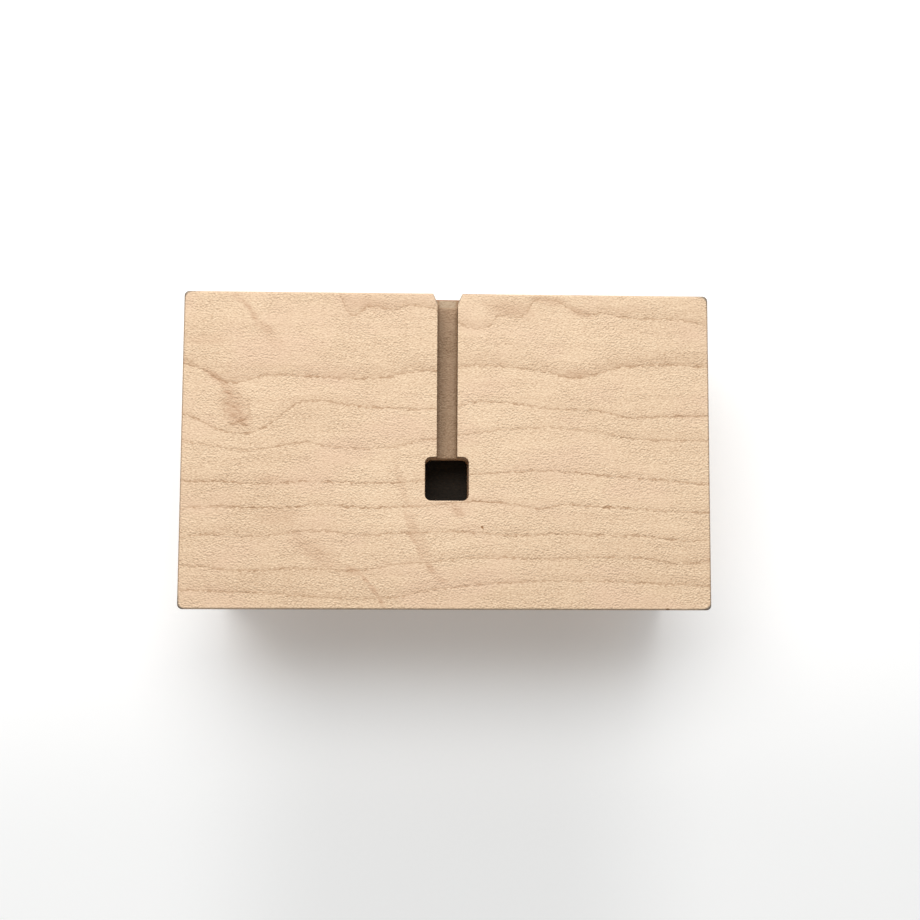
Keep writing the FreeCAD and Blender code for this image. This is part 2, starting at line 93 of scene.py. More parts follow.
class Metal(Enum):
    """The metals of the lock and its fastenings."""

    BRASS = "brass"
    STEEL = "pin_steel"
    NICKEL = "magnet_plating"


class Steps:
    """Shader steps, written one by one into a node tree."""

    def __init__(self, tree: bpy.types.NodeTree) -> None:
        """Empty the tree that the steps go into."""
        self.tree = tree
        self.tree.nodes.clear()

    def step(self, kind: str, inputs: Mapping[int | str, Amount] | None = None,
             **settings: object) -> Node:
        """Add one node.

        Args:
            kind: Blender's name for the node.
            inputs: A number, colour or socket for each input.
            settings: The node's own options.

        Returns:
            The new node.
        """
        node = self.tree.nodes.new(kind)
        for name, value in settings.items():
            setattr(node, name, value)
        for key, value in (inputs or {}).items():
            if isinstance(value, Socket):
                self.tree.links.new(value, node.inputs[key])
            else:
                node.inputs[key].default_value = value
        return node

    def math(self, operation: str, *values: Amount) -> Socket:
        """Work out one sum, by Blender's name for it."""
        return self.step("ShaderNodeMath", dict(enumerate(values)), operation=operation).outputs[0]

    def times(self, *values: Amount) -> Socket:
        """Multiply two numbers."""
        return self.math("MULTIPLY", *values)

    def scaled(self, *values: Amount) -> Socket:
        """Multiply the first two numbers and add the third."""
        return self.math("MULTIPLY_ADD", *values)

    def larger(self, *values: Amount) -> Socket:
        """Return the larger of two numbers."""
        return self.math("MAXIMUM", *values)

    def unsigned(self, value: Amount) -> Socket:
        """Return a number without its sign."""
        return self.math("ABSOLUTE", value)

    def vector(self, operation: str, *values: Amount) -> Socket:
        """Work out one sum of vectors, by Blender's name for it."""
        inputs = dict(enumerate(values))
        return self.step("ShaderNodeVectorMath", inputs, operation=operation).outputs[0]

    def parts(self, vector: Socket) -> tuple[Socket, Socket, Socket]:
        """Return a vector's three parts."""
        outputs = self.step("ShaderNodeSeparateXYZ", {0: vector}).outputs
        return outputs[0], outputs[1], outputs[2]

    def blend(self, share: Amount, first: Amount, second: Amount) -> Socket:
        """Mix two numbers, by the share of the second."""
        return self.step("ShaderNodeMix", {0: share, 2: first, 3: second}).outputs[0]

    def fade(self, value: Amount, low: float, high: float,
             start: float = 0.0, finish: float = 1.0) -> Socket:
        """Change smoothly from start, where the value is low, to finish, where it is high."""
        inputs = dict(enumerate((value, low, high, start, finish)))
        return self.step("ShaderNodeMapRange", inputs, interpolation_type="SMOOTHSTEP").outputs[0]

    def any_seen(self) -> Socket:
        """Tell what is seen, straight on, mirrored or through a surface, from other light.

        Returns:
            1 for what is seen, and 0 for other light.
        """
        path = self.step("ShaderNodeLightPath").outputs
        mirrored = self.larger(path["Is Glossy Ray"], path["Is Transmission Ray"])
        return self.larger(path["Is Camera Ray"], mirrored)


class Coat(Steps):
    """A coat of finish, written step by step as shader nodes, with places measured in millimetres."""

    def __init__(self, name: str) -> None:
        """Start an empty material.

        Args:
            name: What the finish is called.
        """
        self.material = bpy.data.materials.new(name)
        self.material.use_nodes = True
        super().__init__(self.material.node_tree)
        where = self.step("ShaderNodeTexCoord")
        self.facing = where.outputs["Normal"]
        inputs = {0: where.outputs["Object"], 3: 1 / MM}
        self.place = self.step("ShaderNodeVectorMath", inputs, operation="SCALE").outputs[0]

    def cloud(self, size: Spot, detail: float = 2.0, seed: float = 0.0, rough: float = 0.5,
              turn: float = 0.0) -> Socket:
        """Make soft noise.

        Args:
            size: How large its blotches are along each axis, in millimetres.
            detail: How many finer layers it has.
            seed: Which part of the noise is used.
            rough: How strong the finer layers are.
            turn: How far it is turned about the upright axis, in degrees.

        Returns:
            Values about one half.
        """
        scale = tuple(1 / length for length in size)
        place = self.place
        if turn:
            inputs = {"Vector": place, "Angle": math.radians(turn)}
            place = self.step("ShaderNodeVectorRotate", inputs, rotation_type="Z_AXIS").outputs[0]
        place = self.vector("MULTIPLY_ADD", place, scale, (seed, 1.7 * seed, 0.6 * seed))
        inputs = {"Vector": place, "Scale": 1.0, "Detail": detail, "Roughness": rough}
        return self.step("ShaderNodeTexNoise", inputs).outputs[0]

    def flecks(self, size: Spot, share: float, seed: float = 0.0) -> Socket:
        """Scatter short dashes.

        Args:
            size: The room that each dash has along each axis, in millimetres.
            share: How many of the places hold a dash, from 0 to 1.
            seed: Which scatter is used.

        Returns:
            1 in the middle of a dash and 0 between them.
        """
        scale = tuple(1 / length for length in size)
        place = self.vector("MULTIPLY_ADD", self.place, scale, (seed, 0.8 * seed, 0.3 * seed))
        cells = self.step("ShaderNodeTexVoronoi", {"Vector": place, "Scale": 1.0, "Randomness": 1.0})
        lucky = self.parts(cells.outputs["Color"])[0]
        chosen = self.math("LESS_THAN", lucky, share)
        return self.times(chosen, self.fade(cells.outputs["Distance"], 0.08, 0.42, 1.0, 0.0))

    def ramp(self, value: Amount, stops: Sequence[tuple[float, Colour]]) -> Socket:
        """Turn a value into a colour.

        Args:
            value: What decides, from 0 to 1.
            stops: Positions in rising order, each with its colour.

        Returns:
            The colour.
        """
        node = self.step("ShaderNodeValToRGB", {0: value})
        steps = node.color_ramp.elements
        steps[0].position = stops[0][0]
        steps[1].position = stops[-1][0]
        for position, _ in stops[1:-1]:
            steps.new(position)
        for step, (_, colour) in zip(steps, stops):
            step.color = (*colour, 1.0)
        return node.outputs[0]

    def rings(self, across: Socket, spacing: float, grain: Grain, seed: float) -> Socket:
        """Shade growth rings that waver along the grain.

        Args:
            across: Place across the rings, in millimetres.
            spacing: How far apart the rings are.
            grain: Which way they run.
            seed: Which waver is used.

        Returns:
            How dark the rings are, from 0 to 1.
        """
        waver = self.times(self.cloud(grain.stretch(42.0, 14.0), 2.0, seed), 8.0)
        jag = self.times(self.cloud(grain.stretch(1.6, 0.7), 2.0, seed + 5.0), 0.6)
        reach = self.math("ADD", across, self.math("ADD", waver, jag))
        turn = self.math("FRACT", self.math("DIVIDE", reach, spacing))
        return self.ramp(turn, [(place, (dark,) * 3) for place, dark in RING_SHADES])

    def curve(self, value: Amount, points: Sequence[Point]) -> Socket:
        """Follow a smooth line through given points.

        Args:
            value: How far along the line, from 0 to 1.
            points: Places along the line with their heights, both from 0 to 1.

        Returns:
            The line's height there.
        """
        node = self.step("ShaderNodeFloatCurve", {"Value": value})
        line = node.mapping.curves[0]
        line.points[0].location = points[0]
        line.points[1].location = points[-1]
        for point in points[1:-1]:
            line.points.new(*point)
        node.mapping.update()
        return node.outputs[0]

    def mix(self, factor: Amount, first: Amount, second: Amount, blend: str = "MIX") -> Socket:
        """Mix two colours.

        Args:
            factor: How much of the second, from 0 to 1.
            first: The colour underneath.
            second: The colour on top.
            blend: Blender's name for the way they are mixed.

        Returns:
            The mixed colour.
        """
        colours = [value if isinstance(value, Socket) else (*value, 1.0) for value in (first, second)]
        inputs = {0: factor, 6: colours[0], 7: colours[1]}
        return self.step("ShaderNodeMix", inputs, data_type="RGBA", blend_type=blend).outputs[2]

    def relief(self, height: Socket, depth: float) -> Socket:
        """Turn a height from 0 to 1 into a surface dented by a depth in millimetres."""
        return self.step("ShaderNodeBump", {"Height": height, "Distance": depth * MM}).outputs[0]

    def surface(self, colour: Amount, rough: Amount, bend: Socket, **fixed: Amount) -> Finish:
        """Close the finish with its shader.

        Args:
            colour: Base colour.
            rough: Roughness.
            bend: The surface's direction from its relief.
            fixed: Other shader inputs that are the same all over, with _ for a space.

        Returns:
            The finished material.
        """
        inputs = {name.replace("_", " "): value for name, value in fixed.items()}
        inputs |= {"Base Color": colour, "Roughness": rough, "Normal": bend}
        shader = self.step("ShaderNodeBsdfPrincipled", inputs)
        self.step("ShaderNodeOutputMaterial", {0: shader.outputs[0]})
        return self.material


@dataclass(frozen=True)
class MapleTones:
    """The colours that a piece of maple runs through."""

    pale: Colour = (0.94, 0.735, 0.515)
    middle: Colour = (0.81, 0.596, 0.40)
    tan: Colour = (0.55, 0.365, 0.225)
    rosy: Colour = (0.775, 0.54, 0.377)
    stain: Colour = (0.590, 0.372, 0.232)
    line: Colour = (0.330, 0.160, 0.065)
    end: Colour = (0.420, 0.295, 0.195)

    def bare(self, coat: Coat, tone: Amount, layers: Sequence[tuple[Socket, float]]) -> Socket:
        """Colour bare maple.

        Args:
            coat: The finish being written.
            tone: How pale the wood is on the whole, from 0 to 1.
            layers: Layers of noise, each with its weight.

        Returns:
            The wood's colour.
        """
        for layer, weight in layers:
            tone = coat.scaled(coat.math("SUBTRACT", layer, 0.5), weight, tone)
        return coat.ramp(tone, [(0.0, self.tan), (0.5, self.middle), (1.0, self.pale)])


@dataclass(frozen=True)
class RingLine:
    """One growth ring's edge across the lid's face, drawn in millimetres from the face's centre."""

    points: tuple[Point, ...]
    line: float = 0.5
    bank: float = 0.1
    reach: float = 2.6


@dataclass(frozen=True)
class Blot:
    """A mark in the wood: its half length and half width in millimetres, its turn in degrees, how dark,
    ragged and soft it is, and what it is."""

    x: float
    y: float
    long: float
    wide: float
    turn: float = 0.0
    tone: float = 0.5
    ragged: float = 0.6
    mark: Mark = Mark.STAIN
    soft: float = 0.75


FACE_RINGS: tuple[RingLine, ...] = (
    RingLine(((-64, 46), (-31, 45), (-26, 37), (-23, 32.5), (-19, 34.5), (-13, 34), (-9, 35), (-3, 34),
              (3, 30.5), (10, 30), (12, 32.5), (18, 32.5), (22, 37), (26, 36.5), (33, 33), (37, 33.5),
              (43, 32.5), (57, 32), (64, 30.5)), 0.45, 0.2, 4.0),
    RingLine(((-64, 20.5), (-60, 19.5), (-53, 16), (-49, 16), (-46, 17), (-20, 17), (-14, 17.5),
              (-7, 19), (-3, 19), (7, 20.5), (15, 20), (24, 19), (30, 17.5), (34, 18), (41, 20),
              (52, 21), (64, 20.5)), 0.5, 0.26, 4.6),
    RingLine(((-64, 8.5), (-61, 7.5), (-56, 5), (-50, 3.5), (-45, 4.5), (-39, 8.5), (-36, 11),
              (-33, 11.5), (-29, 11.5), (-23, 10.5), (-17, 10), (3, 10.5), (6, 11.5), (13, 11.5),
              (27, 10), (37, 9.5), (44, 8), (52, 8.5), (64, 8.5))),
    RingLine(((-64, 2), (-56, 0.5), (-47, -0.5), (-38, 1), (-34, 1.5), (-27, 0.5), (-13, 0.5),
              (-9, 1.5), (3, 3.5), (10, 4.5), (24, 5.5), (32, 5), (39, 4), (45, 3), (59, 2.5),
              (64, 2.5)), 0.4),
    RingLine(((-64, -8), (-54, -8), (-45, -8.5), (-35, -8), (-13, -8), (-6, -7.5), (6, -6), (12, -5.5),
              (23, -5), (31, -5.5), (45, -6.5), (50, -7), (64, -8)), 0.55),
    RingLine(((-64, -14.5), (-57, -14), (-38, -14), (-31, -13.5), (-19, -14), (-5, -13.5), (7, -12.5),
              (15, -13), (23, -14), (29, -13), (35, -13.5), (46, -14), (53, -14.5), (64, -15)), 0.55),
    RingLine(((-64, -21.5), (-56, -20.5), (-45, -21), (-31, -19.5), (-17, -20.5), (-14, -20), (-7, -20),
              (0, -19.5), (18, -20.5), (27, -20), (37, -20.5), (47, -20.5), (58, -21.5),
              (64, -21.5)), 0.45),
    RingLine(((-64, -28.5), (-60, -28), (-49, -29), (-34, -28.5), (-23, -29), (-12, -27.5), (-5, -27),
              (2, -26), (25, -26), (42, -25.5), (49, -26), (55, -27), (64, -26)), 0.42),
    RingLine(((-64, -33.5), (-51, -34), (-40, -34.5), (-23, -35.5), (-11, -35), (-7, -34), (0, -33),
              (10, -32), (18, -31.5), (43, -31.5), (54, -32), (64, -32.5)), 0.42, 0.16, 3.4),
)

KNOT: tuple[Blot, ...] = (
    Blot(-51.0, 10.2, 7.6, 5.0, -72, 0.42),
    Blot(-56.1, 17.5, 3.8, 1.3, -32, 0.6),
    Blot(-53.2, 15.2, 3.0, 1.6, -46, 0.62),
    Blot(-52.2, 13.2, 3.4, 1.9, -68, 0.72, 0.9),
    Blot(-50.8, 9.6, 5.2, 3.9, -78, 0.70, 1.1),
    Blot(-49.9, 7.2, 4.6, 2.6, -10, 0.70, 1.0),
    Blot(-53.4, 10.8, 4.2, 0.5, -88, 0.16, 0.7, Mark.NICK),
    Blot(-49.8, 13.0, 2.0, 0.45, -50, 0.22, 0.7, Mark.NICK),
    Blot(-47.4, 9.4, 2.4, 0.45, -76, 0.24, 0.7, Mark.NICK),
    Blot(-49.2, 6.7, 2.4, 0.42, 20, 0.5, 0.5, Mark.NICK),
    Blot(-51.4, 5.9, 1.5, 0.4, -6, 0.45, 0.5, Mark.NICK),
    Blot(-48.6, 5.7, 1.6, 0.42, -22, 0.45, 0.5, Mark.NICK),
)
BACK_STREAK: tuple[Blot, ...] = (
    Blot(-50.5, 36.4, 3.0, 1.2, -30, 0.36),
    Blot(-48.4, 34.7, 2.6, 0.9, -48, 0.62),
    Blot(-46.6, 32.0, 2.4, 1.0, -60, 0.58),
    Blot(-43.7, 29.1, 3.6, 1.5, -38, 0.46),
    Blot(-42.2, 26.6, 5.4, 2.6, -40, 0.2),
)
MIDDLE_STREAK: tuple[Blot, ...] = (
    Blot(-10.8, -8.6, 9.0, 1.6, -74, 0.26),
    Blot(-7.9, -18.6, 5.2, 2.0, -75, 0.38),
    Blot(-5.7, -22.9, 4.8, 2.0, -65, 0.36),
    Blot(-9.6, -16.5, 3.4, 0.8, -78, 0.42),
    Blot(-8.1, -21.2, 3.2, 0.8, -60, 0.52),
    Blot(-6.4, -24.3, 2.8, 0.9, -65, 0.42),
    Blot(-3.8, -28.1, 3.4, 1.2, -58, 0.52),
    Blot(-1.4, -31.0, 2.8, 1.2, -30, 0.4),
)
FRONT_STREAK: tuple[Blot, ...] = (
    Blot(-31.0, -24.6, 10.0, 3.6, -33, 0.4, 0.9),
    Blot(-22.3, -28.9, 3.8, 1.5, -25, 0.5),
    Blot(-19.2, -31.0, 2.2, 0.8, -50, 0.62),
    Blot(-17.3, -33.4, 2.6, 0.9, -50, 0.64),
    Blot(-15.6, -36.0, 2.8, 0.8, -60, 0.56),
)
SMALL_MARKS: tuple[Blot, ...] = (
    Blot(15.0, 34.6, 9.0, 3.4, -10, 0.4),
    Blot(24.4, 36.4, 6.0, 1.6, -8, 0.4),
    Blot(32.4, 33.6, 5.0, 1.5, -14, 0.4),
    Blot(31.4, 18.6, 5.4, 2.0, 4, 0.3),
    Blot(-40.0, -16.2, 7.0, 3.4, 6, 0.3),
    Blot(-43.0, -7.0, 4.0, 1.4, 0, 0.34),
    Blot(-20.0, 35.4, 8.0, 2.4, -6, 0.3),
    Blot(-58.0, 26.0, 7.0, 2.4, 0, 0.3),
    Blot(2.6, -14.8, 3.2, 1.7, -44, 0.5, 0.9),
    Blot(8.5, -18.5, 0.55, 0.3, -45, 1.0, 0.0, Mark.NICK, 0.4),
    Blot(52.9, -38.0, 0.6, 0.5, 0, 1.0, 0.0, Mark.NICK, 0.4),
)
FACE_BLOTS: tuple[Blot, ...] = (*KNOT, *BACK_STREAK, *MIDDLE_STREAK, *FRONT_STREAK, *SMALL_MARKS)


@dataclass(frozen=True)
class LidMaple:
    """Bare sanded maple of the lid, with its rings, knot and streaks where this board has them."""

    tones: MapleTones = MapleTones()
    rings: tuple[RingLine, ...] = FACE_RINGS
    blots: tuple[Blot, ...] = FACE_BLOTS
    top: float = 50.8
    half_span: float = 64.0
    half_rise: float = 60.0
    lean: float = 0.9
    spacing: float = 5.6
    # Cut faces: router burnish with painted shade of the groove's depth, less on the mouth's slope.
    cut: Colour = (0.53, 0.47, 0.42)
    # Painted shade on the groove's floor along its walls.
    painted_wall_shade: Colour = (0.40, 0.33, 0.26)
    mouth: Colour = (0.52, 0.51, 0.49)
    # Painted shade high on the well's walls.
    painted_well_shade: Colour = (0.44, 0.37, 0.32)
    # Painted shadow on the mouth's back lip.
    painted_lip_shadow: Colour = (0.42, 0.25, 0.155)
    # Painted shade on the slab's upper edges.
    painted_edge_shade: Colour = (0.10, 0.085, 0.07)
    half_long: float = 63.5
    half_deep: float = 38.1
    corner: float = 2.0
    groove_half: float = 2.45
    well_half: float = 5.25
    well_back: float = -1.7
    mouth_run: float = 2.5
    mouth_half: float = 3.2
    cut_rings: float = 0.25
    dash_tone: float = 0.2
    end_cover: float = 0.85
    grain_depth: float = 0.23
    sanded: float = 0.22
    ring_dip: float = 0.1

    def cut_area(self, coat: Coat) -> Socket:
        """Find the walls and floors of the groove, its mouth and the well.

        Args:
            coat: The coat being written.

        Returns:
            1 on them, and 0 elsewhere.
        """
        x, y, z = coat.parts(coat.place)
        sunk = coat.fade(z, self.top - 0.5, self.top - 0.12, 1.0, 0.0)
        ahead = coat.fade(y, self.half_deep - 0.1, self.half_deep - 0.02, 1.0, 0.0)
        close = coat.fade(coat.unsigned(x), self.well_half + 0.3, self.well_half + 0.6, 1.0, 0.0)
        return coat.times(sunk, coat.times(ahead, close))

    def dress_cuts(self, coat: Coat, colour: Socket, cut: Socket) -> Socket:
        """Darken the cut faces with router burnish and painted shade, least on the mouth's slope.

        Args:
            coat: The finish being written.
            colour: The wood's colour.
            cut: Where the cutter went, from 0 to 1.

        Returns:
            The colour with its cuts.
        """
        x, y, z = coat.parts(coat.place)
        # Painted shade on the groove's floor along its walls, with a wobbly edge.
        wall_wobble = coat.cloud((1.2, 5.0, 3.0), 3.0, 37.0)
        wall = coat.scaled(wall_wobble, 0.8, coat.unsigned(x))
        by_wall = coat.fade(wall, self.groove_half - 0.5, self.groove_half + 0.35)
        slope = self.half_deep - self.mouth_run
        # Router burnish with painted shade on the cut faces, less on the mouth's slope that faces the
        # light.
        brown = coat.mix(coat.fade(y, slope, slope + 0.3), self.cut, self.mouth)
        brown = coat.mix(by_wall, brown, self.painted_wall_shade)
        # Painted shadow on the mouth's back lip, where the edge below turns away from the light.
        lip = coat.fade(y, self.half_deep - 0.45, self.half_deep - 0.2, 0.0, 0.8)
        brown = coat.mix(lip, brown, self.painted_lip_shadow)
        # Painted shade high on the well's walls, fading out further down.
        well = coat.mix(coat.fade(z, self.top - 5.0, self.top - 0.5), WHITE, self.painted_well_shade)
        brown = coat.mix(coat.fade(y, self.well_back, self.well_back + 0.1), well, brown)
        return coat.mix(cut, colour, brown, "MULTIPLY")

    def dress_edges(self, coat: Coat, colour: Socket) -> Socket:
        """Paint shade on the slab's upper edge, darkest at its corners, along the front and beside the
        mouth.

        Args:
            coat: The finish being written.
            colour: The wood's colour.

        Returns:
            The colour with its edges.
        """
        x, y, z = coat.parts(coat.place)
        reach = []
        for place, half in ((x, self.half_long), (y, self.half_deep)):
            reach.append(coat.math("SUBTRACT", coat.unsigned(place), half - self.corner))
        outer = [coat.larger(far, 0.0) for far in reach]
        squares = [coat.times(far, far) for far in outer]
        away = coat.math("SQRT", coat.math("ADD", *squares))
        # Painted shade on the edges, which turn from the light: corners, front edge and beside the
        # mouth.
        jittered = coat.scaled(coat.cloud((1.6, 1.6, 1.6), 2.0, 53.0), 0.5, away)
        edge = coat.fade(jittered, self.corner - 0.28, self.corner + 0.2)
        near = coat.math("MINIMUM", *reach)
        rim_shade = coat.fade(near, -3.5, 0.6, 0.12, 0.85)
        front = coat.fade(y, 0.2 - self.half_deep, 0.6 - self.half_deep, 0.5, 0.0)
        amount = coat.times(edge, coat.larger(rim_shade, front))
        slope = self.half_deep - self.mouth_run
        flare = coat.fade(y, slope, self.half_deep, self.groove_half, self.mouth_half)
        beside = coat.math("SUBTRACT", coat.unsigned(x), flare)
        off = coat.unsigned(coat.math("SUBTRACT", beside, 0.1))
        at_mouth = coat.fade(y, slope - 0.6, slope + 0.6)
        mouth_edge_shade = coat.times(coat.fade(off, 0.1, 0.4, 0.75, 0.0), at_mouth)
        high = coat.fade(z, self.top - 0.6, self.top - 0.2)
        amount = coat.times(coat.larger(amount, mouth_edge_shade), high)
        return coat.mix(amount, colour, self.painted_edge_shade)

    def ring_shade(self, coat: Coat, along: Socket, height: Socket, ring: RingLine) -> Socket:
        """Shade one ring: a thin dark line with a soft bank behind it.

        Args:
            coat: The finish being written.
            along: Place along the box, from 0 to 1.
            height: Place across the rings, in millimetres.
            ring: The ring.

        Returns:
            How dark the ring is, from 0 to 1.
        """
        points = [((x + self.half_span) / (2 * self.half_span),
                   (y + self.half_rise) / (2 * self.half_rise)) for x, y in ring.points]
        edge = coat.scaled(coat.curve(along, points), 2 * self.half_rise, -self.half_rise)
        behind = coat.math("SUBTRACT", height, edge)
        room = 8.0
        stops = [(-0.24, 0.0), (-0.04, ring.line), (0.10, ring.line), (0.36, ring.bank),
                 (0.45 * ring.reach, 0.45 * ring.bank), (ring.reach, 0.0)]
        place = coat.scaled(behind, 1 / room, 0.25)
        return coat.ramp(place, [((far / room) + 0.25, (dark,) * 3) for far, dark in stops])

    def blot_shade(self, coat: Coat, blot: Blot, ragged: Socket) -> Socket:
        """Shade one soft mark.

        Args:
            coat: The finish being written.
            blot: The mark.
            ragged: Noise that breaks its outline.

        Returns:
            How dark the mark is, from 0 to 1.
        """
        inputs = {"Vector": coat.place, "Location": (blot.x, blot.y, 0.0),
                  "Rotation": (0.0, 0.0, math.radians(blot.turn)), "Scale": (blot.long, blot.wide, 1e4)}
        local = coat.step("ShaderNodeMapping", inputs, vector_type="TEXTURE").outputs[0]
        away = coat.step("ShaderNodeVectorMath", {0: local}, operation="LENGTH").outputs["Value"]
        uneven = coat.scaled(ragged, blot.ragged, away)
        edge = 1.0 + 0.5 * blot.ragged
        return coat.fade(uneven, edge - blot.soft, edge, blot.tone, 0.0)

    def all_rings(self, coat: Coat) -> Socket:
        """Shade the rings drawn for the top face, and nearly level ones on the front and back faces.

        Args:
            coat: The finish being written.

        Returns:
            How dark the rings are, from 0 to 1.
        """
        x, y, z = coat.parts(coat.place)
        sway = coat.scaled(coat.cloud((9.0, 4.0, 6.0), 3.0, 2.0), 0.5, -0.25)
        jag = coat.scaled(coat.cloud((1.0, 0.6, 0.6), 2.0, 5.0), 1.8, -0.9)
        depth = coat.scaled(z, self.lean, -self.lean * self.top)
        height = coat.math("ADD", coat.math("ADD", y, depth), coat.math("ADD", sway, jag))
        along = coat.scaled(x, 0.5 / self.half_span, 0.5)
        shade: Amount = 0.0
        for ring in self.rings:
            shade = coat.larger(shade, self.ring_shade(coat, along, height, ring))
        strength = coat.scaled(coat.cloud((12.0, 5.0, 5.0), 3.0, 8.0), 1.1, 0.45)
        broken = coat.fade(coat.cloud((2.2, 0.8, 0.8), 2.0, 13.0), 0.3, 0.6, 0.5, 1.15)
        shade = coat.times(shade, coat.times(strength, broken))
        level = coat.rings(z, self.spacing, Grain.LENGTHWISE, 71.0)
        sides = coat.unsigned(coat.parts(coat.facing)[1])
        return coat.blend(coat.fade(sides, *TURNED), shade, level)

    def all_marks(self, coat: Coat) -> tuple[Socket, Socket]:
        """Shade the knot, streaks and small marks, with ripples across the stains.

        Args:
            coat: The finish being written.

        Returns:
            How dark the stains and the nicks are, from 0 to 1.
        """
        ragged = coat.cloud((3.2, 0.9, 2.0), 3.0, 3.0)
        marks: dict[Mark, Amount] = {mark: 0.0 for mark in Mark}
        for blot in self.blots:
            shade = self.blot_shade(coat, blot, ragged)
            marks[blot.mark] = coat.larger(marks[blot.mark], shade)
        shallow = coat.fade(coat.parts(coat.place)[2], self.top - 1.6, self.top - 0.3)
        stain, nick = (coat.times(marks[mark], shallow) for mark in (Mark.STAIN, Mark.NICK))
        ripple = coat.cloud((2.2, 0.42, 0.5), 2.0, 19.0, turn=6.0)
        crossed = coat.fade(ripple, 0.54, 0.68, 0.0, 0.4)
        dark = coat.times(crossed, coat.fade(stain, 0.3, 0.6))
        stain = coat.times(stain, coat.fade(ripple, 0.3, 0.7, 0.7, 1.25))
        return stain, coat.larger(nick, dark)

    def make(self) -> Finish:
        """Write the finish.

        Returns:
            Its material.
        """
        coat = Coat("lid_maple_finish")
        tones = self.tones
        x, y, _ = coat.parts(coat.place)
        ends, _, upward = (coat.unsigned(part) for part in coat.parts(coat.facing))
        cut = self.cut_area(coat)
        kept = coat.fade(cut, 0.0, 1.0, 1.0, self.cut_rings)
        shade = coat.times(self.all_rings(coat), kept)
        stain, nick = self.all_marks(coat)
        speck = coat.cloud((0.60, 0.18, 0.18), 1.0, 25.0, turn=9.0)
        grit = coat.cloud((0.54, 0.17, 0.17), 1.0, 47.0, turn=-12.0)
        fibre = coat.cloud((2.6, 0.42, 0.42), 2.0, 11.0, 0.6)
        streak = coat.cloud((34.0, 1.8, 2.4), 3.0, 4.0)
        patch = coat.cloud((26.0, 15.0, 15.0), 2.0, 7.0)
        # Painted shade: the face darkens towards the front, away from the light, and a little towards
        # the left end.
        tone = coat.math("ADD", coat.fade(y, -36.0, -14.0, 0.43, 0.49),
                         coat.fade(x, -60.0, -5.0, -0.06, 0.0))
        layers = ((speck, 1.2), (grit, 1.2), (fibre, 0.35), (streak, 0.3), (patch, 0.25))
        colour = tones.bare(coat, tone, layers)
        blush = coat.fade(coat.cloud((22.0, 12.0, 12.0), 3.0, 15.0), 0.48, 0.72, 0.0, 0.5)
        colour = coat.mix(blush, colour, tones.rosy)
        colour = coat.mix(stain, colour, tones.stain)
        colour = coat.mix(coat.larger(shade, nick), colour, tones.line)
        dash = coat.flecks((1.5, 0.42, 0.42), 0.35, 21.0)
        colour = coat.mix(coat.times(dash, self.dash_tone), colour, tones.line)
        pores = coat.cloud((0.9, 0.24, 0.24), 2.0, 31.0)
        end = coat.mix(coat.fade(pores, 0.4, 0.7), tones.end, tones.line)
        end = coat.mix(coat.times(shade, 0.9), end, tones.line)
        colour = coat.mix(coat.fade(ends, *TURNED, 0.0, self.end_cover), colour, end)
        colour = self.dress_edges(coat, self.dress_cuts(coat, colour, cut))
        rough = coat.scaled(fibre, 0.16, 0.5)
        pebble = coat.math("SUBTRACT", coat.cloud((0.46, 0.4, 0.4), 0.0, 57.0, turn=6.0), 0.5)
        jittered = coat.fade(coat.cloud((9.0, 5.0, 5.0), 2.0, 63.0), 0.35, 0.6, 0.5, 1.2)
        sanded = coat.scaled(fibre, self.sanded, -0.5 * self.sanded)
        rise = coat.blend(coat.fade(upward, *TURNED), sanded, coat.times(pebble, jittered))
        rise = coat.scaled(shade, -self.ring_dip, rise)
        return coat.surface(colour, rough, coat.relief(rise, self.grain_depth), Specular_IOR_Level=0.3)


@dataclass(frozen=True)
class BoardMaple:
    """Plain maple with growth rings about a pith line beside the board."""

    name: str
    grain: Grain
    seed: float
    tones: MapleTones = MapleTones()
    pith: Point = (78.0, -58.0)
    spacing: float = 5.2
    rough: float = 0.52
    gloss: float = 0.3
    dash_tone: float = 0.16
    end_cover: float = 0.85
    grain_depth: float = 0.05
    ring_dip: float = 0.3

    def make(self) -> Finish:
        """Write the finish.

        Returns:
            Its material.
        """
        coat = Coat(self.name)
        tones = self.tones
        along = self.grain.stretch
        parts = coat.parts(coat.place)
        across = parts[1 - self.grain.value]
        side = coat.math("SUBTRACT", across, self.pith[0])
        rise = coat.math("SUBTRACT", parts[2], self.pith[1])
        square = coat.scaled(side, side, coat.times(rise, rise))
        ring = coat.rings(coat.math("SQRT", square), self.spacing, self.grain, self.seed)
        speck = coat.cloud(along(0.8, 0.25), 1.0, self.seed + 25.0)
        fibre = coat.cloud(along(2.6, 0.42), 2.0, self.seed + 11.0, 0.6)
        streak = coat.cloud(along(34.0, 1.8), 3.0, self.seed + 4.0)
        colour = tones.bare(coat, 0.5, ((speck, 1.2), (fibre, 0.5), (streak, 0.5)))
        colour = coat.mix(ring, colour, tones.line)
        dash = coat.flecks(along(1.5, 0.42), 0.35, self.seed + 21.0)
        colour = coat.mix(coat.times(dash, self.dash_tone), colour, tones.line)
        ends = coat.unsigned(coat.parts(coat.facing)[self.grain.value])
        pores = coat.cloud((0.3, 0.3, 0.3), 2.0, self.seed + 31.0)
        end = coat.mix(coat.fade(pores, 0.4, 0.7), tones.tan, tones.end)
        end = coat.mix(ring, end, tones.line)
        colour = coat.mix(coat.fade(ends, *TURNED, 0.0, self.end_cover), colour, end)
        rough = coat.scaled(fibre, 0.16, self.rough)
        rise = coat.scaled(ring, -self.ring_dip, fibre)
        bend = coat.relief(rise, self.grain_depth)
        return coat.surface(colour, rough, bend, Specular_IOR_Level=self.gloss)


